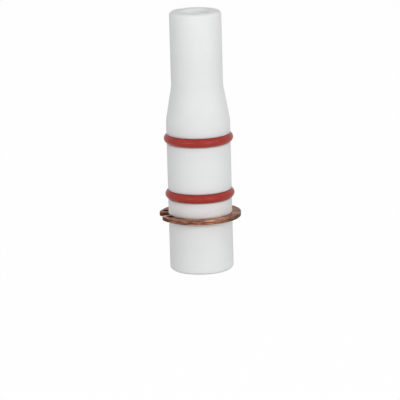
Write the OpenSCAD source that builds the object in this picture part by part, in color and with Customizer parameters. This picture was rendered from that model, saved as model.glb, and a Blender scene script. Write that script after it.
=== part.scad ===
// Insulating gas sleeve of a TIG torch: a turned PTFE sleeve that plugs into the torch body,
// two silicone O-rings that seal it there, and the external retaining ring that stops it.
// Millimetres. +Z runs along the bore from the wide rear end to the nose, and the origin is
// the centre of the rear face, on which the sleeve stands. The ring's open gap faces -X.

/* [Sleeve] */
// Overall length, rear face to nose
sleeve_length = 73; // [64:0.5:82]
// Outside diameter of the body that plugs into the torch
body_d = 17.8; // [17.4:0.1:18.8]
// Outside diameter of the neck
neck_d = 14.4; // [13.4:0.05:15.6]
// Bore that runs right through
bore_d = 8; // [5:0.1:9.6]
// Height at which the shoulder starts to narrow
shoulder_z = 41.7; // [41.2:0.1:46]
// Slope of the shoulder's cone from the axis, in degrees
shoulder_slope = 10; // [8:0.5:16]
// Radius that blends the body into the shoulder
crest_r = 9; // [2:0.5:20]
// Radius that blends the shoulder into the neck
root_r = 1; // [0.5:0.5:12]
// Rounding of the rear end's outer edge
rear_edge_r = 1.1; // [0.2:0.1:1.6]
// Rounding of the nose's outer edge
nose_edge_r = 1; // [0.2:0.1:1.4]
// Rounding of the bore's two mouths
mouth_r = 0.5; // [0.2:0.1:0.8]

/* [O-rings] */
// Thickness of the cord that an O-ring is made of
cord_d = 2.5; // [2.3:0.05:2.8]
// Height of the rear O-ring
rear_seal_z = 21.7; // [20.5:0.1:22.6]
// Distance between the two O-rings
seal_pitch = 15.8; // [12:0.1:16.4]
// Depth of each O-ring groove
seal_groove_depth = 1.75; // [1.5:0.05:1.9]
// Gap left on each side of the cord in its groove
seal_side_gap = 0.1; // [0.05:0.05:0.5]
// Rounding of the groove's edge on the rear side, over which the O-ring is rolled in
seal_lead_r = 0.75; // [0.3:0.05:1]
// Rounding of the groove's edge on the nose side
seal_edge_r = 0.2; // [0.1:0.05:0.6]
// Rounding of the groove's bottom corners
seal_root_r = 0.3; // [0.1:0.05:0.4]

/* [Retaining ring] */
// Thickness of the ring
ring_t = 1.2; // [0.8:0.05:1.6]
// Height of the groove's lower flank, on which the ring lies
ring_seat_z = 14.95; // [12:0.05:15.6]
// Depth of the ring's groove
ring_groove_depth = 1.3; // [1:0.05:1.7]
// Height that the groove has over the ring's thickness
ring_end_play = 0.08; // [0.08:0.01:0.4]
// Rounding of the groove's edge on the nose side
ring_lead_r = 0.15; // [0.1:0.05:0.8]
// Rounding of the groove's edge on the rear side
ring_edge_r = 0.2; // [0.1:0.05:0.4]
// How much larger the ring's inner radius is than the groove's floor
ring_play = 0.25; // [0.2:0.05:0.6]
// Width of the ring from its inner edge to its outer one
ring_w = 3.6; // [3.2:0.05:4.2]
// Width of the gap between the ring's two ends
ring_gap_w = 3.6; // [2:0.1:5]
// Rounding of the outer corner of each end
tip_r = 1; // [0.3:0.05:1.2]
// Diameter of the plier hole in each end
plier_hole_d = 1.7; // [1.4:0.05:1.9]
// Wall left between the plier hole and the ring's outer edge
plier_hole_wall = 0.8; // [0.6:0.05:1]
// Angle between the two plier holes, in degrees
plier_hole_spread = 46; // [42:0.5:60]
// Radius of the small notch in the outer edge beyond each end
notch_r = 1.2; // [0.6:0.05:1.6]
// Depth of that notch
notch_depth = 0.15; // [0.05:0.05:0.4]
// Angle from a plier hole to its notch, in degrees
notch_angle = 8; // [8:0.5:14]

/* [Fits] */
// Gap between an O-ring and the floor of its groove
seal_seat_gap = 0.02; // [0.01:0.01:0.1]
// Gap between the ring and the flank under it
ring_rest_gap = 0.03; // [0.01:0.01:0.06]
// Gap left where the ring hangs closest to its groove's floor
ring_hang_gap = 0.15; // [0.05:0.01:0.2]

/* [Hidden] */

$fn = 96;
// Points drawn along each rounded stretch of the sleeve's outline
ARC_STEPS = 8;
// How far a cutting tool runs past the face that it cuts
OVERCUT = 1;

body_r = body_d / 2;
neck_r = neck_d / 2;
bore_r = bore_d / 2;

// The shoulder: an arc off the body, a straight cone, and an arc into the neck.
crest_drop = crest_r * (1 - cos(shoulder_slope));
root_drop = root_r * (1 - cos(shoulder_slope));
cone_drop = body_r - neck_r - crest_drop - root_drop;
cone_h = cone_drop / tan(shoulder_slope);
neck_z = shoulder_z + (crest_r + root_r) * sin(shoulder_slope) + cone_h;

front_seal_z = rear_seal_z + seal_pitch;
seal_groove_w = cord_d + 2 * seal_side_gap;
seal_floor_r = body_r - seal_groove_depth;
seal_r = seal_floor_r + seal_seat_gap + cord_d / 2;

ring_groove_w = ring_t + ring_end_play;
ring_floor_r = body_r - ring_groove_depth;
ring_inner_r = ring_floor_r + ring_play;
ring_shift = ring_hang_gap - ring_play;
ring_z = ring_seat_z + ring_rest_gap;

ring_outer_r = ring_inner_r + ring_w;
plier_hole_reach = ring_outer_r - plier_hole_wall - plier_hole_d / 2;
plier_hole_angle = plier_hole_spread / 2;
notch_reach = ring_outer_r + notch_r - notch_depth;

// Points on an arc, from one angle to another.
function arc(centre, r, from, to) = [
    for (i = [0 : ARC_STEPS])
        let (a = from + (to - from) * i / ARC_STEPS)
            centre + r * [cos(a), sin(a)]
];

// Outline of an O-ring groove, from its lower edge to its upper one, as [radius, height].
function seal_groove(z) =
    let (
        low = z - seal_groove_w / 2,
        high = z + seal_groove_w / 2
    )
        concat(
            arc([body_r - seal_lead_r, low - seal_lead_r], seal_lead_r, 0, 90),
            arc([seal_floor_r + seal_root_r, low + seal_root_r], seal_root_r, 270, 180),
            arc([seal_floor_r + seal_root_r, high - seal_root_r], seal_root_r, 180, 90),
            arc([body_r - seal_edge_r, high + seal_edge_r], seal_edge_r, 270, 360)
        );

// The ring's groove has square bottom corners, because the ring is flat.
function ring_groove() =
    let (high = ring_seat_z + ring_groove_w)
        concat(
            arc([body_r - ring_edge_r, ring_seat_z - ring_edge_r], ring_edge_r, 0, 90),
            [[ring_floor_r, ring_seat_z], [ring_floor_r, high]],
            arc([body_r - ring_lead_r, high + ring_lead_r], ring_lead_r, 270, 360)
        );

function shoulder() = concat(
    arc([body_r - crest_r, shoulder_z], crest_r, 0, shoulder_slope),
    arc([neck_r + root_r, neck_z], root_r, 180 + shoulder_slope, 180)
);

function sleeve_outline() = concat(
    [[0, 0]],
    arc([body_r - rear_edge_r, rear_edge_r], rear_edge_r, 270, 360),
    ring_groove(),
    seal_groove(rear_seal_z),
    seal_groove(front_seal_z),
    shoulder(),
    arc([neck_r - nose_edge_r, sleeve_length - nose_edge_r], nose_edge_r, 0, 90),
    [[0, sleeve_length]]
);

// Cuts the rounded mouth of the bore at the rear face. Mirrored, it cuts the one at the nose.
module mouth_cut() {
    rotate_extrude()
        polygon(concat(
            [[bore_r - OVERCUT, -OVERCUT], [bore_r + mouth_r, -OVERCUT]],
            arc([bore_r + mouth_r, mouth_r], mouth_r, 270, 180),
            [[bore_r - OVERCUT, mouth_r]]
        ));
}

module sleeve() {
    color("white")
        difference() {
            rotate_extrude() polygon(sleeve_outline());
            translate([0, 0, -OVERCUT])
                cylinder(r = bore_r, h = sleeve_length + 2 * OVERCUT);
            mouth_cut();
            translate([0, 0, sleeve_length]) mirror([0, 0, 1]) mouth_cut();
        }
}

module o_ring(z) {
    color("firebrick")
        translate([0, 0, z])
            rotate_extrude()
                translate([seal_r, 0]) circle(d = cord_d);
}

// What is cut off the outer corner of the ring's end on the +Y side to round it.
module corner_cut() {
    side = ring_gap_w / 2;
    centre_r = ring_outer_r - tip_r;
    centre = [-sqrt(centre_r ^ 2 - (side + tip_r) ^ 2), side + tip_r];
    difference() {
        polygon([
            centre,
            [centre.x, side - OVERCUT],
            [-ring_outer_r - OVERCUT, side - OVERCUT],
            centre * (ring_outer_r + OVERCUT) / centre_r
        ]);
        translate(centre) circle(r = tip_r);
    }
}

// The half of the ring's cuts that lies on the +Y side: hole, notch and rounded corner.
module end_cuts() {
    rotate(180 - plier_hole_angle)
        translate([plier_hole_reach, 0]) circle(d = plier_hole_d);
    rotate(180 - plier_hole_angle - notch_angle)
        translate([notch_reach, 0]) circle(r = notch_r);
    corner_cut();
}

// Seen from above, with the gap towards -X.
module ring_outline() {
    difference() {
        circle(r = ring_outer_r);
        circle(r = ring_inner_r);
        translate([-ring_outer_r - OVERCUT, -ring_gap_w / 2])
            square([ring_outer_r + OVERCUT, ring_gap_w]);
        end_cuts();
        mirror([0, 1, 0]) end_cuts();
    }
}

module retaining_ring() {
    color("peru")
        translate([ring_shift, 0, ring_z])
            linear_extrude(ring_t) ring_outline();
}

sleeve();
o_ring(rear_seal_z);  // rear_o_ring
o_ring(front_seal_z);  // front_o_ring
retaining_ring();
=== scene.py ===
"""Dresses the insulating gas sleeve of a TIG torch: a turned PTFE sleeve, its two silicone
O-rings and its spring-bronze retaining ring, on a pale floor under soft studio light.

Metres, in the frame of the part: +Z runs up the bore from the wide rear end to the nose.
"""

import math

import bmesh
import bpy
from mathutils import Matrix, Vector


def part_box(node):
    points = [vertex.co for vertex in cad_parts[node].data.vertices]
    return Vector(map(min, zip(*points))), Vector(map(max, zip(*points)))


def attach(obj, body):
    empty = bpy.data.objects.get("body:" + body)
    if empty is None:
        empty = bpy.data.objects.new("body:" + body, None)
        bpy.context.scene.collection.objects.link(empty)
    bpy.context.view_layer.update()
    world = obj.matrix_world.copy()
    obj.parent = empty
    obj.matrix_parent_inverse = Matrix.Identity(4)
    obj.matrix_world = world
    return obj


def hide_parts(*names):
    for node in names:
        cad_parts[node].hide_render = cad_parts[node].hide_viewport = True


bl_info = {
    "name": "Torch Gas Sleeve",
    "version": (1, 0, 0),
    "blender": (4, 5, 0),
    "location": "3D View > Sidebar > Gas Sleeve",
    "description": "Builds a turned PTFE torch sleeve with its O-rings and retaining ring",
    "category": "Add Mesh",
}

X, Y, Z = 0, 1, 2


def mm(value):
    """Millimetres as metres."""
    return value / 1000


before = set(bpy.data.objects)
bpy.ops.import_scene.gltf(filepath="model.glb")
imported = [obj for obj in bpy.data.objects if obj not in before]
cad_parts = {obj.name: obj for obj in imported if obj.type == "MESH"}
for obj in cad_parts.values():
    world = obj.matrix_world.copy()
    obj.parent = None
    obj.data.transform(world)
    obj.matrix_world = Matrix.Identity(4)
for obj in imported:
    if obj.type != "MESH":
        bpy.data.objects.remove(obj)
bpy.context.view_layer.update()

# Points that lie closer than this are joined.
JOIN_DISTANCE = mm(0.002)
# Faces that meet at a wider angle than this keep a crisp edge between them. The cord's angle
# is wide, so that the ridge of its parting line is smooth.
CRISP_ANGLE = math.radians(40)
CRISP_CORD_ANGLE = math.radians(60)
# Inputs of a Mix node: the two values or the two colours that it mixes.
VALUE_A, VALUE_B, COLOUR_A, COLOUR_B = 2, 3, 6, 7
WHITE = (1, 1, 1, 1)
# Soft boxes: azimuth in degrees from the camera's, sides in metres, power in watts.
SOFT_BOXES = {
    "left_box": {"azimuth": -35, "width": 0.15, "height": 0.05, "power": 0.6},
    "right_box": {"azimuth": 37, "width": 0.26, "height": 0.1, "power": 1.04},
}


# ---- What the frame says -----------------------------------------------------------------


def low(node, axis):
    """Where a node starts along an axis."""
    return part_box(node)[0][axis]


def high(node, axis):
    """Where a node ends along an axis."""
    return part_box(node)[1][axis]


def size_of(node, axis):
    """How far a node reaches along an axis."""
    return high(node, axis) - low(node, axis)


def middle(node, axis):
    """Half-way along a node on an axis."""
    return (high(node, axis) + low(node, axis)) / 2


SEALS = ("rear_o_ring", "front_o_ring")
RING_OUTER_R = size_of("retaining_ring", Y) / 2
RING_SHIFT = high("retaining_ring", X) - RING_OUTER_R


# ---- Sizes -------------------------------------------------------------------------------


def length(name, description, default):
    """A length in the scene's units."""
    return bpy.props.FloatProperty(
        name=name, description=description, default=default, unit="LENGTH", precision=5
    )


def angle(name, description, degrees):
    """An angle, given in degrees."""
    return bpy.props.FloatProperty(
        name=name, description=description, default=math.radians(degrees), subtype="ANGLE"
    )


def share(name, description, default):
    """A part of the whole, from 0 to 1."""
    return bpy.props.FloatProperty(
        name=name, description=description, default=default, min=0, max=1, subtype="FACTOR"
    )


def camera_length(name, description, default):
    """One of a camera's own lengths, in millimetres."""
    return bpy.props.FloatProperty(
        name=name, description=description, default=default, unit="CAMERA"
    )


def count(name, description, default):
    """A number of steps, at least 3."""
    return bpy.props.IntProperty(name=name, description=description, default=default, min=3)


def seed(description, default):
    """The seed of something random."""
    return bpy.props.IntProperty(name="Seed", description=description, default=default)


def linear(hex_code):
    """An sRGB hex colour, such as #F2F2F0, as the linear colour that shaders read."""
    levels = [int(hex_code[i : i + 2], 16) / 255 for i in (1, 3, 5)]
    return [s / 12.92 if s <= 0.04045 else ((s + 0.055) / 1.055) ** 2.4 for s in levels]


def colour(name, description, hex_code):
    """A colour, given as sRGB hex."""
    return bpy.props.FloatVectorProperty(
        name=name,
        description=description,
        default=linear(hex_code),
        subtype="COLOR",
        size=3,
        min=0,
        max=1,
    )


class SleeveSizes(bpy.types.PropertyGroup):
    """Sizes and colours of the turned sleeve."""

    length: length("Length", "Rear face to nose", size_of("sleeve", Z))
    body_r: length("Body radius", "Radius that plugs into the torch", size_of("sleeve", Y) / 2)
    neck_r: length("Neck radius", "Radius of the neck", mm(7.2))
    bore_r: length("Bore radius", "Radius of the bore", mm(4))
    shoulder_z: length("Shoulder", "Height at which the body starts to narrow", mm(41.7))
    slope: angle("Slope", "Slope of the shoulder's cone from the axis", 10)
    crest_r: length("Crest rounding", "Radius from the body into the cone", mm(9))
    root_r: length("Root rounding", "Radius from the cone into the neck", mm(8))
    rear_edge_r: length("Rear edge", "Rounding of the rear end's outer edge", mm(1.1))
    nose_edge_r: length("Nose edge", "Rounding of the nose's outer edge", mm(1))
    mouth_r: length("Mouth", "Rounding of the bore's mouths", mm(0.5))
    seal_gap: length("Seal side gap", "Gap on each side of an O-ring", mm(0.06))
    seal_depth: length("Seal groove depth", "Depth of an O-ring groove", mm(1.75))
    seal_lead_r: length("Seal lead", "Rounding of a groove's edge on the rear side", mm(0.4))
    seal_edge_r: length("Seal edge", "Rounding of a groove's edge on the nose side", mm(0.2))
    seal_root_r: length("Seal root", "Rounding of a groove's bottom corners", mm(0.3))
    ring_rest: length("Ring rest", "Gap between the ring and the flank under it", mm(0.03))
    ring_play: length("Ring play", "Height of the ring's groove over its thickness", mm(0.05))
    ring_depth: length("Ring groove depth", "Depth of the ring's groove", mm(1.3))
    ring_lead_r: length("Ring lead", "Rounding of that groove's upper edge", mm(0.04))
    ring_edge_r: length("Ring edge", "Rounding of that groove's lower edge", mm(0.2))
    turns: count("Segments", "Segments round the axis", 256)
    rounding: count("Rounding steps", "Steps along each rounding", 9)
    colour: colour("PTFE", "Colour of the PTFE", "#F2F3F3")
    # The bore's colour is a painted glow, whiter than the PTFE, for the light that fills the bore.
    painted_bore_glow: colour("Bore", "Colour of the clean bore", "#FCFEFF")
    shade: colour("PTFE shade", "Colour of its faint handling marks", "#EFF0F0")


class SealSizes(bpy.types.PropertyGroup):
    """Sizes and colours of the O-rings."""

    flash_h: length("Flash height", "Height of the mould's parting line", mm(0.03))
    flash_w: length("Flash width", "Half the width of the parting line", mm(0.1))
    waver: length("Waver", "How far the cord strays from a true circle", mm(0.05))
    seed: seed("Seed of the waver", 3)
    turns: count("Segments", "Segments round the ring", 256)
    cord_turns: count("Cord segments", "Segments round the cord", 64)
    colour: colour("Silicone", "Colour of the silicone", "#A6312A")
    bloom: colour("Silicone bloom", "Colour where the surface has dulled", "#AE3C33")


class RingSizes(bpy.types.PropertyGroup):
    """Sizes and colours of the retaining ring, which opens towards -X."""

    shift: length("Shift", "How far the ring hangs off the sleeve's axis, along X", RING_SHIFT)
    inner_r: length("Inner radius", "Radius of the ring's inner edge", mm(7.85))
    gap_w: length("Gap", "Width of the gap between the two ends", mm(3.6))
    tip_r: length("Tip rounding", "Rounding of the outer corner of each end", mm(1))
    hole_r: length("Hole radius", "Radius of a plier hole", mm(0.85))
    hole_wall: length("Hole wall", "Wall between a plier hole and the outer edge", mm(0.8))
    hole_angle: angle("Hole angle", "Angle from the gap's middle to a plier hole", 23)
    notch_angle: angle("Notch angle", "Angle from a plier hole to its notch", 8)
    notch_r: length("Notch radius", "Radius of the small notch beyond each end", mm(1.2))
    notch_depth: length("Notch depth", "Depth of that notch", mm(0.15))
    die_roll: length("Die roll", "Rounding that the punch leaves on the lower edges", mm(0.25))
    top_edge_r: length("Top edge", "Rounding of the upper edges", mm(0.08))
    band_steps: count("Band steps", "Steps along half the band", 120)
    arc_steps: count("Arc steps", "Steps along a short arc", 14)
    hole_steps: count("Hole steps", "Steps round a plier hole", 42)
    roll_steps: count("Die roll steps", "Steps round the die roll", 6)
    top_steps: count("Top edge steps", "Steps round the upper edges", 3)
    # The flats' colours are a lit copy, brighter than the edges' for the light that the flats
    # catch: painted light. Their light and dark stops also carry the painted highlight and shade
    # round the ring, besides the real streaks.
    light: colour("Bright flats", "Colour of the rubbed streaks on the flats", "#D8AC93")
    middle: colour("Flats", "Colour of most of the flats", "#B5826A")
    dark: colour("Dark flats", "Colour of the tarnished streaks on the flats", "#7A4F3E")
    # The edges' colours are a shaded copy of the flats': painted shade for the darker surroundings
    # that the sheared edges reflect, and in part their own darker sheared surface.
    edge_light: colour("Bright edges", "Colour of the bright streaks on the edges", "#C08868")
    edge_middle: colour("Edges", "Colour of most of the sheared edges", "#8E5E4E")
    edge_dark: colour("Dark edges", "Colour of the dark streaks on the edges", "#4A2A20")
    seed: seed("Seed of the streaks", 9)
    # The plier holes' walls are painted this near-black colour: painted shade for the shadow
    # inside the holes.
    painted_hole_shade: colour("Dirt", "Colour of the soiled walls of the plier holes", "#341E17")


class StageSizes(bpy.types.PropertyGroup):
    """Camera, floor and light."""

    azimuth: angle("Azimuth", "Camera's angle round the part", -8.3)
    elevation: angle("Elevation", "Camera's angle over the floor", 13.28)
    roll: angle("Roll", "Camera's turn about its own axis", -1.574)
    distance: length("Distance", "Camera to its target", mm(727.8))
    target_z: length("Target height", "Height of the camera's target", mm(19.52))
    target_side: length("Target side", "Target's place along the camera's right", mm(-0.054))
    lens: camera_length("Lens", "Focal length in millimetres", 234.1)
    sensor: camera_length("Sensor", "Sensor width in millimetres", 36)
    nearest: length("Nearest", "Closest distance that the camera shows", mm(10))
    farthest: length("Farthest", "Farthest distance that the camera shows", 20)
    floor_size: length("Floor", "Side of the floor", 6)
    floor: colour("Floor", "Colour of the floor", "#F4F4F4")
    whitening: share("Whitening", "How much of the floor is plain white to the eye", 0.98)
    fill: share("Fill", "Strength of the soft light from all round", 0.465)
    box_elevation: angle("Box elevation", "Angle of the soft boxes over the floor", 20)
    box_distance: length("Box distance", "Soft boxes to the middle of the part", 0.6)


# ---- Nodes, meshes and pieces ------------------------------------------------------------


def add_node(tree, kind, inputs=(), stops=(), **settings):
    """Adds a node with its settings. An input that is a socket is linked, one that is a node is
    linked from its first output in use, and any other is a value. The stops are those of a
    colour ramp, as {position: linear colour}."""
    node = tree.nodes.new(kind)
    for name, value in settings.items():
        setattr(node, name, value)
    for key, value in dict(inputs).items():
        if isinstance(value, bpy.types.Node):
            value = next(output for output in value.outputs if output.enabled)
        if isinstance(value, bpy.types.NodeSocket):
            tree.links.new(value, node.inputs[key])
        else:
            node.inputs[key].default_value = value
    if stops:
        elements = node.color_ramp.elements
        while len(elements) < len(stops):
            elements.new(0.5)  # moved to its place below
        for element, (position, shade) in zip(elements, stops.items()):
            element.position = position
            element.color = (*shade, 1)
    return node


def new_tree(name, sockets):
    """A Geometry Nodes tree with named inputs, and its two end nodes."""
    tree = bpy.data.node_groups.new(name, "GeometryNodeTree")
    tree.interface.new_socket("Geometry", in_out="INPUT", socket_type="NodeSocketGeometry")
    for socket_name, socket_type in sockets.items():
        tree.interface.new_socket(socket_name, in_out="INPUT", socket_type=socket_type)
    tree.interface.new_socket("Geometry", in_out="OUTPUT", socket_type="NodeSocketGeometry")
    return tree, add_node(tree, "NodeGroupInput"), add_node(tree, "NodeGroupOutput")


def finish_tree(tree, entry, end, mesh, crisp_angle):
    """Ends a tree: joins doubles, smooths all but the crisp edges, realizes instances and sets
    the material."""
    joined = add_node(
        tree, "GeometryNodeMergeByDistance", {"Geometry": mesh, "Distance": JOIN_DISTANCE}
    )
    bend = add_node(tree, "GeometryNodeInputMeshEdgeAngle")
    crisp = add_node(
        tree,
        "FunctionNodeCompare",
        {"A": bend.outputs["Unsigned Angle"], "B": crisp_angle},
        operation="GREATER_THAN",
    )
    smooth = add_node(tree, "GeometryNodeSetShadeSmooth", {"Geometry": joined})
    marked = add_node(
        tree,
        "GeometryNodeStoreNamedAttribute",
        {"Geometry": smooth, "Name": "sharp_edge", "Value": crisp},
        data_type="BOOLEAN",
        domain="EDGE",
    )
    real = add_node(tree, "GeometryNodeRealizeInstances", {"Geometry": marked})
    painted = add_node(
        tree,
        "GeometryNodeSetMaterial",
        {"Geometry": real, "Material": entry.outputs["Material"]},
    )
    tree.links.new(painted.outputs["Geometry"], end.inputs["Geometry"])


def run_tree(host, tree, values):
    """Puts a tree on the host, with its inputs set by their sockets' identifiers."""
    modifier = host.modifiers.new(tree.name, "NODES")
    modifier.node_group = tree
    for item in tree.interface.items_tree:
        if item.in_out == "INPUT" and item.name in values:
            modifier[item.identifier] = values[item.name]


def add_object(name, data):
    """An object in the scene that shows the mesh, camera or lamp."""
    made = bpy.data.objects.new(name, data)
    bpy.context.collection.objects.link(made)
    return made


def point_outwards(mesh):
    """Turns the faces of a closed mesh outwards."""
    shape = bmesh.new()
    shape.from_mesh(mesh)
    bmesh.ops.recalc_face_normals(shape, faces=shape.faces)
    shape.to_mesh(mesh)
    shape.free()


def plain_mesh(host):
    """The evaluated host as a mesh of its own. The host and its modifiers are removed."""
    ready = host.evaluated_get(bpy.context.evaluated_depsgraph_get())
    mesh = bpy.data.meshes.new_from_object(ready)
    bpy.data.objects.remove(host)
    return mesh


def add_piece(name, mesh, body, slot, *nodes):
    """Places a finished mesh on its body, in place of the nodes. Flat faces keep their normals."""
    host = add_object(name + "_host", mesh)
    host.modifiers.new("flat_faces", "WEIGHTED_NORMAL").keep_sharp = True
    piece = add_object(name, plain_mesh(host))
    piece.data.name = name
    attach(piece, body)
    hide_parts(*nodes)


# ---- Outlines ----------------------------------------------------------------------------


def pairs(loop):
    """Each item of a closed loop with the one after it."""
    return list(zip(loop, loop[1:] + loop[:1]))


def on_circle(centre, radius, turn):
    """The point of a circle at that turn from +X."""
    return Vector((centre[X] + radius * math.cos(turn), centre[Y] + radius * math.sin(turn)))


def arc(centre, radius, start, end, steps):
    """Points on an arc, both ends included."""
    turns = [start + (end - start) * i / steps for i in range(steps + 1)]
    return [on_circle(centre, radius, turn) for turn in turns]


def meeting(centre_a, radius_a, centre_b, radius_b, side):
    """Where two circles meet. Side is +1 for the point left of the way from a to b, and -1 for
    the one right of it."""
    way = centre_b - centre_a
    along = (way.length_squared + radius_a**2 - radius_b**2) / (2 * way.length)
    across = math.sqrt(radius_a**2 - along**2)
    forward = way.normalized()
    return centre_a + forward * along + Vector((-forward.y, forward.x)) * across * side


def bearing(centre, point):
    """Angle of the way from centre to point."""
    return math.atan2(point.y - centre.y, point.x - centre.x)


def quarter_turn(steps):
    """(sine, cosine) at even steps over a quarter of a turn."""
    turns = [math.pi / 2 * i / steps for i in range(steps + 1)]
    return [(math.sin(turn), math.cos(turn)) for turn in turns]


# ---- Materials ---------------------------------------------------------------------------


def blank_tree(owner):
    """The node tree of a material or a world, emptied."""
    owner.use_nodes = True
    owner.node_tree.nodes.clear()
    return owner.node_tree


def lathe_coordinates(tree):
    """Object coordinates, and the same as the way round the axis in radians, the radius and the
    height. The seam of the way round faces -X."""
    place = add_node(tree, "ShaderNodeTexCoord").outputs["Object"]
    x, y, height = add_node(tree, "ShaderNodeSeparateXYZ", {0: place}).outputs
    flat = add_node(tree, "ShaderNodeCombineXYZ", {X: x, Y: y})
    radius = add_node(tree, "ShaderNodeVectorMath", {0: flat}, operation="LENGTH")
    way = add_node(tree, "ShaderNodeMath", {0: y, 1: x}, operation="ARCTAN2")
    return place, way, radius, height


def ptfe(sizes):
    """Turned PTFE. Waxy, dense white that glows a little inside, with a soft satin sheen and
    the tool's fine rings round the axis."""
    feed = mm(0.14)  # the tool's real feed is about half, too fine to show
    ring_depth = mm(0.01)
    mark = mm(14)  # spread of the faint handling marks
    marked, clean = 0.42, 0.6  # noise at a full mark, and where there is none
    marked_roughness, clean_roughness = 0.7, 0.58
    glow = mm(2)  # how far light wanders inside
    material = bpy.data.materials.new("turned_ptfe")
    tree = blank_tree(material)
    place, _, radius, height = lathe_coordinates(tree)
    sweep = add_node(tree, "ShaderNodeMath", {0: radius, 1: height}, operation="ADD")
    rings = add_node(
        tree,
        "ShaderNodeTexNoise",
        {"W": sweep, "Scale": 1 / feed, "Detail": 2},
        noise_dimensions="1D",
    )
    relief = add_node(
        tree, "ShaderNodeBump", {"Height": rings, "Strength": 0.25, "Distance": ring_depth}
    )
    marks = add_node(
        tree, "ShaderNodeTexNoise", {"Vector": place, "Scale": 1 / mark, "Detail": 4}
    )
    roughness = add_node(
        tree,
        "ShaderNodeMapRange",
        {"Value": marks, "To Min": marked_roughness, "To Max": clean_roughness},
    )
    outside = add_node(
        tree, "ShaderNodeValToRGB", {0: marks}, {marked: sizes.shade, clean: sizes.colour}
    )
    # The bore is painted whiter than the rest of the PTFE: a painted glow for the light that fills
    # it through the translucent walls.
    out_of_bore = add_node(
        tree,
        "ShaderNodeMapRange",
        {
            "Value": radius,
            "From Min": sizes.bore_r + sizes.mouth_r / 2,
            "From Max": sizes.bore_r + sizes.mouth_r,
        },
    )
    tint = add_node(
        tree,
        "ShaderNodeMix",
        {"Factor": out_of_bore, COLOUR_A: (*sizes.painted_bore_glow, 1), COLOUR_B: outside},
        data_type="RGBA",
    )
    surface = add_node(
        tree,
        "ShaderNodeBsdfPrincipled",
        {
            "Base Color": tint,
            "Roughness": roughness,
            "Normal": relief,
            "IOR": 1.35,
            "Subsurface Weight": 1,
            "Subsurface Radius": (1, 1, 1),
            "Subsurface Scale": glow,
        },
    )
    add_node(tree, "ShaderNodeOutputMaterial", {"Surface": surface})
    return material


def silicone(sizes):
    """Moulded silicone rubber. A saturated red-brown satin with wide soft highlights, a
    slightly dulled skin and the faintest orange peel."""
    grain = mm(0.5)  # skin texture, drawn coarser than its 0.1 mm so that it shows
    grain_depth = mm(0.02)
    patch = mm(3)  # spread of the dulled patches
    fresh, dulled = 0.45, 0.72  # noise where the skin is fresh, and where it is dulled
    fresh_roughness, dulled_roughness = 0.3, 0.4
    material = bpy.data.materials.new("moulded_silicone")
    tree = blank_tree(material)
    place = add_node(tree, "ShaderNodeTexCoord").outputs["Object"]
    skin = add_node(
        tree, "ShaderNodeTexNoise", {"Vector": place, "Scale": 1 / grain, "Detail": 3}
    )
    relief = add_node(
        tree, "ShaderNodeBump", {"Height": skin, "Strength": 0.3, "Distance": grain_depth}
    )
    patches = add_node(
        tree, "ShaderNodeTexNoise", {"Vector": place, "Scale": 1 / patch, "Detail": 5}
    )
    roughness = add_node(
        tree,
        "ShaderNodeMapRange",
        {"Value": patches, "To Min": fresh_roughness, "To Max": dulled_roughness},
    )
    tint = add_node(
        tree, "ShaderNodeValToRGB", {0: patches}, {fresh: sizes.colour, dulled: sizes.bloom}
    )
    surface = add_node(
        tree,
        "ShaderNodeBsdfPrincipled",
        {
            "Base Color": tint,
            "Roughness": roughness,
            "Normal": relief,
            "IOR": 1.43,
            "Specular IOR Level": 0.28,
            "Subsurface Weight": 0.1,
            "Subsurface Scale": mm(0.4),
        },
    )
    add_node(tree, "ShaderNodeOutputMaterial", {"Surface": surface})
    return material


def hole_centre(sizes, side):
    """Centre of a plier hole, from the ring's own centre. Side is +1 towards +Y, -1 towards -Y."""
    reach = RING_OUTER_R - sizes.hole_wall - sizes.hole_r
    return on_circle((0, 0), reach, math.pi - side * sizes.hole_angle)


def on_flats(tree, height):
    """1 on the ring's two flats and 0 on its sheared edges."""
    edge_end, flat_start = 0.8, 0.9  # as shares of the way from mid-height to a flat
    from_middle = add_node(
        tree,
        "ShaderNodeMath",
        {0: height, 1: middle("retaining_ring", Z)},
        operation="SUBTRACT",
    )
    distance = add_node(tree, "ShaderNodeMath", {0: from_middle}, operation="ABSOLUTE")
    level = add_node(
        tree,
        "ShaderNodeMath",
        {0: distance, 1: size_of("retaining_ring", Z) / 2},
        operation="DIVIDE",
    )
    return add_node(
        tree,
        "ShaderNodeMapRange",
        {"Value": level, "From Min": edge_end, "From Max": flat_start},
    )


def bronze_grain(tree, sizes, flats, place, way, radius, height):
    """Streaks round the ring like wood grain. The sheared edges show them fine, and the flats
    show broader patches among them."""
    streak_w = mm(0.2)  # width of a streak
    streak_l = mm(2.2)  # length of a streak
    mean_r = mm(10)  # radius at which the streaks have their true length
    patch = mm(2.4)  # size of the tarnished patches
    edge_patches, flat_patches = 0.15, 0.5  # share that the patches have on each
    stretches = ((way, mean_r / streak_l), (radius, 1 / streak_w), (height, 1 / streak_w))
    stretched = [
        add_node(tree, "ShaderNodeMath", {0: value, 1: factor}, operation="MULTIPLY")
        for value, factor in stretches
    ]
    along = add_node(tree, "ShaderNodeCombineXYZ", dict(enumerate(stretched)))
    streaks = add_node(
        tree,
        "ShaderNodeTexNoise",
        {"Vector": along, "W": sizes.seed, "Scale": 1, "Detail": 6, "Distortion": 0.5},
        noise_dimensions="4D",
    )
    patches = add_node(
        tree,
        "ShaderNodeTexNoise",
        {"Vector": place, "W": sizes.seed, "Scale": 1 / patch, "Detail": 2},
        noise_dimensions="4D",
    )
    patchiness = add_node(
        tree,
        "ShaderNodeMapRange",
        {"Value": flats, "To Min": edge_patches, "To Max": flat_patches},
    )
    return add_node(
        tree, "ShaderNodeMix", {"Factor": patchiness, VALUE_A: streaks, VALUE_B: patches}
    )


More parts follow.
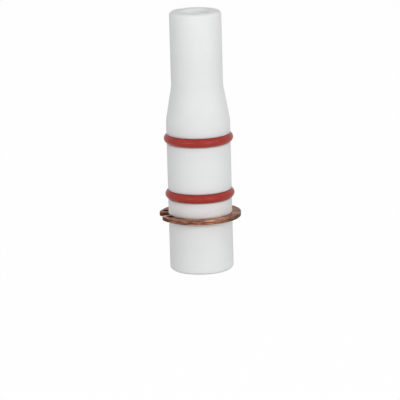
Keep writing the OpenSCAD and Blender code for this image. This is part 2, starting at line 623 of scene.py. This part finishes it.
def painted_highlight_and_shade(tree, way):
    """How much painted shade dims the bronze. A painted highlight leaves it brightest half-way
    between the gap and the back, on both sides, and painted shade darkens it towards both."""
    highlight_at = math.radians(90)  # where it is brightest, from the ring's back
    bright_reach, shaded_reach = math.radians(15), math.radians(65)  # from there
    strength = 0.12
    from_back = add_node(tree, "ShaderNodeMath", {0: way}, operation="ABSOLUTE")
    past = add_node(tree, "ShaderNodeMath", {0: from_back, 1: highlight_at}, operation="SUBTRACT")
    distance = add_node(tree, "ShaderNodeMath", {0: past}, operation="ABSOLUTE")
    return add_node(
        tree,
        "ShaderNodeMapRange",
        {
            "Value": distance,
            "From Min": bright_reach,
            "From Max": shaded_reach,
            "To Max": strength,
        },
    )


def painted_hole_shade_mask(tree, sizes, place):
    """1 on the walls of the two plier holes and just round them, where they are painted dark as
    painted shade, and 0 elsewhere.
    """
    black, clean = sizes.hole_r + mm(0.03), sizes.hole_r + mm(0.12)  # from a hole's centre
    x, y, _ = add_node(tree, "ShaderNodeSeparateXYZ", {0: place}).outputs
    # The two holes are mirrored in the XZ plane, so one of them stands for both.
    aside = add_node(tree, "ShaderNodeMath", {0: y}, operation="ABSOLUTE")
    folded = add_node(tree, "ShaderNodeCombineXYZ", {X: x, Y: aside})
    hole = hole_centre(sizes, 1)
    distance = add_node(
        tree,
        "ShaderNodeVectorMath",
        {0: folded, 1: (hole.x + sizes.shift, hole.y, 0)},
        operation="DISTANCE",
    )
    return add_node(
        tree,
        "ShaderNodeMapRange",
        {"Value": distance, "From Min": black, "From Max": clean, "To Min": 1, "To Max": 0},
    )


def spring_bronze(sizes):
    """Stamped spring bronze. Copper brown with streaks round the ring. The sheared edges take a
    darker copy of the flats' colours, partly their own rougher sheared surface and partly painted
    shade for the darker surroundings they reflect, while the flats are lit brighter by painted
    light. Painted shade darkens the ring towards the gap and the back, a painted highlight
    brightens it between them, and the plier holes are painted nearly black as painted shade."""
    dark, usual, edge_light, light = 0.38, 0.48, 0.58, 0.6  # shine at each colour
    dull_roughness, bright_roughness = 0.65, 0.25
    grain_depth = mm(0.04)
    material = bpy.data.materials.new("stamped_bronze")
    tree = blank_tree(material)
    place, way, radius, height = lathe_coordinates(tree)
    flats = on_flats(tree, height)
    grain = bronze_grain(tree, sizes, flats, place, way, radius, height)
    # The grain less the painted highlight and shade, so the colours below carry both real streaks
    # and painted light.
    grain_and_painted_light = add_node(
        tree, "ShaderNodeMath", {0: grain, 1: painted_highlight_and_shade(tree, way)}, operation="SUBTRACT"
    )
    edge_tint_and_shade = add_node(
        tree,
        "ShaderNodeValToRGB",
        {0: grain_and_painted_light},
        {dark: sizes.edge_dark, usual: sizes.edge_middle, edge_light: sizes.edge_light},
    )
    flat_tint_and_light = add_node(
        tree,
        "ShaderNodeValToRGB",
        {0: grain_and_painted_light},
        {dark: sizes.dark, usual: sizes.middle, light: sizes.light},
    )
    # The flats take the lit copy and the sheared edges the shaded copy: painted light and shade,
    # besides the edges' own darker sheared surface.
    metal = add_node(
        tree,
        "ShaderNodeMix",
        {"Factor": flats, COLOUR_A: edge_tint_and_shade, COLOUR_B: flat_tint_and_light},
        data_type="RGBA",
    )
    # The plier holes' walls are painted nearly black: painted shade for the shadow inside them.
    tint = add_node(
        tree,
        "ShaderNodeMix",
        {
            "Factor": painted_hole_shade_mask(tree, sizes, place),
            COLOUR_A: metal,
            COLOUR_B: (*sizes.painted_hole_shade, 1),
        },
        data_type="RGBA",
    )
    roughness = add_node(
        tree,
        "ShaderNodeMapRange",
        {"Value": grain_and_painted_light, "To Min": dull_roughness, "To Max": bright_roughness},
    )
    relief = add_node(
        tree, "ShaderNodeBump", {"Height": grain, "Strength": 0.5, "Distance": grain_depth}
    )
    surface = add_node(
        tree,
        "ShaderNodeBsdfPrincipled",
        {"Base Color": tint, "Roughness": roughness, "Normal": relief, "Metallic": 1},
    )
    add_node(tree, "ShaderNodeOutputMaterial", {"Surface": surface})
    return material


def is_seen(tree):
    """1 for rays that show the surface itself: straight, mirrored or through glass."""
    path = add_node(tree, "ShaderNodeLightPath").outputs
    mirrored = add_node(
        tree,
        "ShaderNodeMath",
        {0: path["Is Camera Ray"], 1: path["Is Glossy Ray"]},
        operation="MAXIMUM",
    )
    return add_node(
        tree,
        "ShaderNodeMath",
        {0: mirrored, 1: path["Is Transmission Ray"]},
        operation="MAXIMUM",
    )


def white_paper(sizes):
    """Matt white paper. Clean white to the eye, with the part's soft shadow kept."""
    material = bpy.data.materials.new("white_paper")
    tree = blank_tree(material)
    paper = add_node(tree, "ShaderNodeBsdfDiffuse", {"Color": (*sizes.floor, 1)})
    white = add_node(tree, "ShaderNodeEmission", {"Color": WHITE, "Strength": 1})
    whitened = add_node(
        tree, "ShaderNodeMath", {0: is_seen(tree), 1: sizes.whitening}, operation="MULTIPLY"
    )
    surface = add_node(tree, "ShaderNodeMixShader", {0: whitened, 1: paper, 2: white})
    add_node(tree, "ShaderNodeOutputMaterial", {"Surface": surface})
    return material


# ---- Sleeve ------------------------------------------------------------------------------


def groove(bottom, top, body_r, floor_r, lower_edge, upper_edge, root):
    """A groove's four corners as (radius, height, rounding)."""
    return [
        (body_r, bottom, lower_edge),
        (floor_r, bottom, root),
        (floor_r, top, root),
        (body_r, top, upper_edge),
    ]


def sleeve_corners(sizes):
    """The sleeve's closed outline as sharp corners, each with its rounding."""
    ring_low = low("retaining_ring", Z) - sizes.ring_rest
    cone_z = sizes.shoulder_z + sizes.crest_r * math.tan(sizes.slope / 2)
    neck_z = cone_z + (sizes.body_r - sizes.neck_r) / math.tan(sizes.slope)
    outline = [(sizes.bore_r, 0, sizes.mouth_r), (sizes.body_r, 0, sizes.rear_edge_r)]
    # The ring is flat, so its groove has square bottom corners.
    outline += groove(
        bottom=ring_low,
        top=ring_low + size_of("retaining_ring", Z) + sizes.ring_play,
        body_r=sizes.body_r,
        floor_r=sizes.body_r - sizes.ring_depth,
        lower_edge=sizes.ring_edge_r,
        upper_edge=sizes.ring_lead_r,
        root=0,
    )
    for seal in SEALS:
        outline += groove(
            bottom=low(seal, Z) - sizes.seal_gap,
            top=high(seal, Z) + sizes.seal_gap,
            body_r=sizes.body_r,
            floor_r=sizes.body_r - sizes.seal_depth,
            lower_edge=sizes.seal_lead_r,
            upper_edge=sizes.seal_edge_r,
            root=sizes.seal_root_r,
        )
    outline += [
        (sizes.body_r, cone_z, sizes.crest_r),
        (sizes.neck_r, neck_z, sizes.root_r),
        (sizes.neck_r, sizes.length, sizes.nose_edge_r),
        (sizes.bore_r, sizes.length, sizes.mouth_r),
    ]
    return outline


def outline_mesh(outline):
    """A loop of edges with each corner's rounding on it. The sweep takes -Y as up."""
    mesh = bpy.data.meshes.new("sleeve_outline")
    points = [(radius, -height, 0) for radius, height, _ in outline]
    mesh.from_pydata(points, pairs(list(range(len(points)))), [])
    rounding = mesh.attributes.new("rounding", "FLOAT", "POINT")
    rounding.data.foreach_set("value", [corner_r for _, _, corner_r in outline])
    return mesh


def lathe_tree(crisp_angle):
    """Rounds each corner of an outline and turns it about Z."""
    tree, entry, end = new_tree(
        "turn_on_lathe",
        {
            "Rounding Steps": "NodeSocketInt",
            "Segments": "NodeSocketInt",
            "Material": "NodeSocketMaterial",
        },
    )
    outline = add_node(tree, "GeometryNodeMeshToCurve", {"Mesh": entry.outputs["Geometry"]})
    rounding = add_node(
        tree, "GeometryNodeInputNamedAttribute", {"Name": "rounding"}, data_type="FLOAT"
    )
    rounded = add_node(
        tree,
        "GeometryNodeFilletCurve",
        {"Curve": outline, "Count": entry.outputs["Rounding Steps"], "Radius": rounding},
        mode="POLY",
    )
    # The sweep adds the outline's own radius to the circle's, so the circle is all but a point.
    axis_r = mm(0.00001)
    axis = add_node(
        tree,
        "GeometryNodeCurvePrimitiveCircle",
        {"Resolution": entry.outputs["Segments"], "Radius": axis_r},
    )
    turned = add_node(
        tree, "GeometryNodeCurveToMesh", {"Curve": axis, "Profile Curve": rounded}
    )
    outwards = add_node(tree, "GeometryNodeFlipFaces", {"Mesh": turned})
    finish_tree(tree, entry, end, outwards, crisp_angle)
    return tree


class GASSLEEVE_OT_add_sleeve(bpy.types.Operator):
    """Turn the PTFE sleeve from its outline"""

    bl_idname = "gas_sleeve.add_sleeve"
    bl_label = "Add Sleeve"

    def execute(self, context):
        sizes = context.scene.gas_sleeve
        host = add_object("sleeve_outline", outline_mesh(sleeve_corners(sizes)))
        values = {
            "Rounding Steps": sizes.rounding,
            "Segments": sizes.turns,
            "Material": ptfe(sizes),
        }
        run_tree(host, lathe_tree(CRISP_ANGLE), values)
        mesh = plain_mesh(host)
        point_outwards(mesh)
        add_piece("turned_sleeve", mesh, "sleeve", "ptfe", "sleeve")
        return {"FINISHED"}


# ---- O-rings -----------------------------------------------------------------------------


def wavering_ring(tree, entry):
    """The O-ring's centre line, which strays a little from a true circle."""
    waver_scale = 180  # a bend about every 6 mm
    noise_middle = (0.5, 0.5, 0.5)
    ring = add_node(
        tree,
        "GeometryNodeCurvePrimitiveCircle",
        {"Resolution": entry["Segments"], "Radius": entry["Ring Radius"]},
    )
    place = add_node(tree, "GeometryNodeInputPosition")
    stray = add_node(
        tree,
        "ShaderNodeTexNoise",
        {"Vector": place, "W": entry["Seed"], "Scale": waver_scale, "Detail": 1},
        noise_dimensions="4D",
    )
    centred = add_node(
        tree,
        "ShaderNodeVectorMath",
        {0: stray.outputs["Color"], 1: noise_middle},
        operation="SUBTRACT",
    )
    offset = add_node(
        tree, "ShaderNodeVectorMath", {0: centred, "Scale": entry["Waver"]}, operation="SCALE"
    )
    return add_node(tree, "GeometryNodeSetPosition", {"Geometry": ring, "Offset": offset})


def moulded_cord(tree, entry):
    """The cord's section: a circle with the ridge of the parting line where its own Y is near
    zero. The ridge's height falls off as a bell curve."""
    cord = add_node(
        tree,
        "GeometryNodeCurvePrimitiveCircle",
        {"Resolution": entry["Cord Segments"], "Radius": entry["Cord Radius"]},
    )
    place = add_node(tree, "GeometryNodeInputPosition")
    _, y, _ = add_node(tree, "ShaderNodeSeparateXYZ", {0: place}).outputs
    from_line = add_node(
        tree, "ShaderNodeMath", {0: y, 1: entry["Flash Width"]}, operation="DIVIDE"
    )
    squared = add_node(
        tree, "ShaderNodeMath", {0: from_line, 1: from_line}, operation="MULTIPLY"
    )
    falling = add_node(tree, "ShaderNodeMath", {0: squared, 1: -1}, operation="MULTIPLY")
    bell = add_node(tree, "ShaderNodeMath", {0: falling}, operation="EXPONENT")
    height = add_node(
        tree, "ShaderNodeMath", {0: bell, 1: entry["Flash Height"]}, operation="MULTIPLY"
    )
    outwards = add_node(tree, "ShaderNodeVectorMath", {0: place}, operation="NORMALIZE")
    raised = add_node(
        tree, "ShaderNodeVectorMath", {0: outwards, "Scale": height}, operation="SCALE"
    )
    return add_node(tree, "GeometryNodeSetPosition", {"Geometry": cord, "Offset": raised})


def seal_tree(crisp_angle):
    """Sweeps the moulded cord round the wavering ring."""
    tree, entry, end = new_tree(
        "moulded_o_ring",
        {
            "Ring Radius": "NodeSocketFloat",
            "Cord Radius": "NodeSocketFloat",
            "Flash Height": "NodeSocketFloat",
            "Flash Width": "NodeSocketFloat",
            "Waver": "NodeSocketFloat",
            "Seed": "NodeSocketFloat",
            "Segments": "NodeSocketInt",
            "Cord Segments": "NodeSocketInt",
            "Material": "NodeSocketMaterial",
        },
    )
    swept = add_node(
        tree,
        "GeometryNodeCurveToMesh",
        {
            "Curve": wavering_ring(tree, entry.outputs),
            "Profile Curve": moulded_cord(tree, entry.outputs),
        },
    )
    finish_tree(tree, entry, end, swept, crisp_angle)
    return tree


class GASSLEEVE_OT_add_seals(bpy.types.Operator):
    """Add the two silicone O-rings in their grooves"""

    bl_idname = "gas_sleeve.add_seals"
    bl_label = "Add O-Rings"

    def execute(self, context):
        sizes = context.scene.gas_sleeve_seals
        tree = seal_tree(CRISP_CORD_ANGLE)
        material = silicone(sizes)
        for number, seal in enumerate(SEALS):
            cord_r = size_of(seal, Z) / 2
            host = add_object(seal + "_host", bpy.data.meshes.new(seal + "_host"))
            values = {
                "Ring Radius": high(seal, Y) - cord_r,
                "Cord Radius": cord_r,
                "Flash Height": sizes.flash_h,
                "Flash Width": sizes.flash_w,
                "Waver": sizes.waver,
                "Seed": float(sizes.seed + number),
                "Segments": sizes.turns,
                "Cord Segments": sizes.cord_turns,
                "Material": material,
            }
            run_tree(host, tree, values)
            mesh = plain_mesh(host)
            mesh.transform(Matrix.Translation((0, 0, middle(seal, Z))))
            point_outwards(mesh)
            add_piece("silicone_" + seal, mesh, "sleeve", "silicone", seal)
        return {"FINISHED"}


# ---- Retaining ring ----------------------------------------------------------------------


def half_outline(sizes, inset):
    """One half of the ring's outline, drawn in by inset, from the outer edge at +X round the
    end and back along the inner edge. The gap faces -X."""
    same_place = mm(0.001)
    steps = sizes.arc_steps
    centre = Vector((0, 0))
    notch_reach = RING_OUTER_R + sizes.notch_r - sizes.notch_depth
    notch = on_circle(centre, notch_reach, math.pi - sizes.hole_angle - sizes.notch_angle)
    tip_side = sizes.gap_w / 2 + sizes.tip_r
    tip = Vector((-math.sqrt((RING_OUTER_R - sizes.tip_r) ** 2 - tip_side**2), tip_side))
    inner_r = sizes.inner_r + inset
    outer_r = RING_OUTER_R - inset
    notch_r = sizes.notch_r + inset
    into_notch = meeting(centre, outer_r, notch, notch_r, -1)
    out_of_notch = meeting(centre, outer_r, notch, notch_r, 1)
    foot = math.pi - math.asin((sizes.gap_w / 2 + inset) / inner_r)
    stretches = [
        arc(centre, outer_r, 0, bearing(centre, into_notch), sizes.band_steps),
        arc(notch, notch_r, bearing(notch, into_notch), bearing(notch, out_of_notch), steps),
        arc(centre, outer_r, bearing(centre, out_of_notch), bearing(centre, tip), steps),
        arc(tip, sizes.tip_r - inset, bearing(centre, tip), math.pi * 3 / 2, steps),
        arc(centre, inner_r, foot, 0, sizes.band_steps),
    ]
    points = stretches[0]
    for stretch in stretches[1:]:
        joined = (points[-1] - stretch[0]).length <= same_place
        points += stretch[1:] if joined else stretch
    return points


def ring_loops(sizes, inset):
    """The ring's whole outline and its two plier holes, each a closed loop."""
    upper = half_outline(sizes, inset)
    lower = [Vector((point.x, -point.y)) for point in reversed(upper)]
    loops = [upper + lower[1:-1]]
    for side in (1, -1):
        centre = hole_centre(sizes, side)
        loops.append(arc(centre, sizes.hole_r + inset, 0, -math.tau, sizes.hole_steps)[:-1])
    return loops


def edge_layers(sizes, thickness):
    """(inset, height) up the ring's side: the die roll below, then the crisper upper edge."""
    roll = [
        (sizes.die_roll * (1 - sine), sizes.die_roll * (1 - cosine))
        for sine, cosine in quarter_turn(sizes.roll_steps)
    ]
    top = [
        (sizes.top_edge_r * (1 - cosine), thickness - sizes.top_edge_r * (1 - sine))
        for sine, cosine in quarter_turn(sizes.top_steps)
    ]
    return roll + top


def ring_mesh(sizes):
    """The stamped ring, with its rounded lower and crisper upper edges."""
    bottom = low("retaining_ring", Z)
    shape = bmesh.new()
    layers = [
        [
            [shape.verts.new((point.x + sizes.shift, point.y, bottom + height)) for point in loop]
            for loop in ring_loops(sizes, inset)
        ]
        for inset, height in edge_layers(sizes, size_of("retaining_ring", Z))
    ]
    for layer, next_layer in zip(layers, layers[1:]):
        for below, above in zip(layer, next_layer):
            for (a, b), (d, c) in zip(pairs(below), pairs(above)):
                shape.faces.new((a, b, c, d)).smooth = True
    for layer in (layers[0], layers[-1]):
        edges = [shape.edges.get(pair) for loop in layer for pair in pairs(loop)]
        bmesh.ops.triangle_fill(shape, use_beauty=True, use_dissolve=False, edges=edges)
    bmesh.ops.recalc_face_normals(shape, faces=shape.faces)
    mesh = bpy.data.meshes.new("retaining_ring")
    shape.to_mesh(mesh)
    shape.free()
    mesh.set_sharp_from_angle(angle=CRISP_ANGLE)
    return mesh


class GASSLEEVE_OT_add_ring(bpy.types.Operator):
    """Add the stamped retaining ring, lying loose in its groove"""

    bl_idname = "gas_sleeve.add_ring"
    bl_label = "Add Retaining Ring"

    def execute(self, context):
        sizes = context.scene.gas_sleeve_ring
        mesh = ring_mesh(sizes)
        mesh.materials.append(spring_bronze(sizes))
        add_piece("stamped_ring", mesh, "retaining_ring", "bronze", "retaining_ring")
        return {"FINISHED"}


# ---- Stage -------------------------------------------------------------------------------


def add_floor(sizes):
    """A square of paper under the part."""
    half = sizes.floor_size / 2
    mesh = bpy.data.meshes.new("floor")
    mesh.from_pydata(
        [(-half, -half, 0), (half, -half, 0), (half, half, 0), (-half, half, 0)],
        [],
        [(0, 1, 2, 3)],
    )
    mesh.materials.append(white_paper(sizes))
    floor = add_object("floor", mesh)


def from_target(target, azimuth, elevation, distance):
    """A point at that angle round and over the target. Azimuth 0 lies towards -Y."""
    flat = distance * math.cos(elevation)
    rise = distance * math.sin(elevation)
    return target + Vector((flat * math.sin(azimuth), -flat * math.cos(azimuth), rise))


def looking(place, target):
    """The matrix of a lamp or camera at place that looks at target, with +Z up."""
    turn = (target - place).to_track_quat("-Z", "Y")
    return Matrix.Translation(place) @ turn.to_matrix().to_4x4()


def add_camera(sizes):
    """The camera, which looks at its target with a slight roll."""
    data = bpy.data.cameras.new("camera")
    data.lens = sizes.lens
    data.sensor_width = sizes.sensor
    data.clip_start = sizes.nearest
    data.clip_end = sizes.farthest
    right = Vector((math.cos(sizes.azimuth), math.sin(sizes.azimuth), 0))
    target = right * sizes.target_side + Vector((0, 0, sizes.target_z))
    place = from_target(target, sizes.azimuth, sizes.elevation, sizes.distance)
    camera = add_object("camera", data)
    camera.matrix_world = looking(place, target) @ Matrix.Rotation(sizes.roll, 4, "Z")
    bpy.context.scene.camera = camera


def add_soft_box(sizes, name, azimuth, width, height, power):
    """A soft box that faces the middle of the part, round from the camera by the azimuth."""
    target = Vector((0, 0, middle("sleeve", Z)))
    turn = sizes.azimuth + math.radians(azimuth)
    place = from_target(target, turn, sizes.box_elevation, sizes.box_distance)
    data = bpy.data.lights.new(name, "AREA")
    data.shape = "RECTANGLE"
    data.size = width
    data.size_y = height
    data.energy = power
    add_object(name, data).matrix_world = looking(place, target)


def add_world(sizes):
    """White to the eye and in reflections, and a plain soft fill for the rest."""
    world = bpy.data.worlds.new("studio")
    bpy.context.scene.world = world
    tree = blank_tree(world)
    level = add_node(
        tree,
        "ShaderNodeMapRange",
        {"Value": is_seen(tree), "To Min": sizes.fill, "To Max": 1},
    )
    sky = add_node(tree, "ShaderNodeBackground", {"Color": WHITE, "Strength": level})
    add_node(tree, "ShaderNodeOutputWorld", {"Surface": sky})


class GASSLEEVE_OT_set_stage(bpy.types.Operator):
    """Set up the floor, camera, soft boxes and surroundings"""

    bl_idname = "gas_sleeve.set_stage"
    bl_label = "Set Stage"

    def execute(self, context):
        sizes = context.scene.gas_sleeve_stage
        add_floor(sizes)
        add_camera(sizes)
        for name, box in SOFT_BOXES.items():
            add_soft_box(sizes, name, **box)
        add_world(sizes)
        context.scene.view_settings.view_transform = "Standard"
        return {"FINISHED"}


# ---- Panel and registration --------------------------------------------------------------

OPERATORS = (
    GASSLEEVE_OT_add_sleeve,
    GASSLEEVE_OT_add_seals,
    GASSLEEVE_OT_add_ring,
    GASSLEEVE_OT_set_stage,
)
GROUPS = {
    "gas_sleeve": SleeveSizes,
    "gas_sleeve_seals": SealSizes,
    "gas_sleeve_ring": RingSizes,
    "gas_sleeve_stage": StageSizes,
}


class GASSLEEVE_PT_panel(bpy.types.Panel):
    """Lists the steps and the sizes"""

    bl_idname = "GASSLEEVE_PT_panel"
    bl_label = "Gas Sleeve"
    bl_space_type = "VIEW_3D"
    bl_region_type = "UI"
    bl_category = "Gas Sleeve"

    def draw(self, context):
        for operator in OPERATORS:
            self.layout.operator(operator.bl_idname)
        for name, group in GROUPS.items():
            box = self.layout.box()
            for size in group.__annotations__:
                box.prop(getattr(context.scene, name), size)


def register():
    for group in GROUPS.values():
        bpy.utils.register_class(group)
    for name, group in GROUPS.items():
        setattr(bpy.types.Scene, name, bpy.props.PointerProperty(type=group))
    for item in (*OPERATORS, GASSLEEVE_PT_panel):
        bpy.utils.register_class(item)


def unregister():
    for item in reversed((*OPERATORS, GASSLEEVE_PT_panel)):
        bpy.utils.unregister_class(item)
    for name, group in GROUPS.items():
        delattr(bpy.types.Scene, name)
        bpy.utils.unregister_class(group)


def main():
    register()
    bpy.ops.gas_sleeve.add_sleeve()
    bpy.ops.gas_sleeve.add_seals()
    bpy.ops.gas_sleeve.add_ring()
    bpy.ops.gas_sleeve.set_stage()


if __name__ == "__main__":
    main()
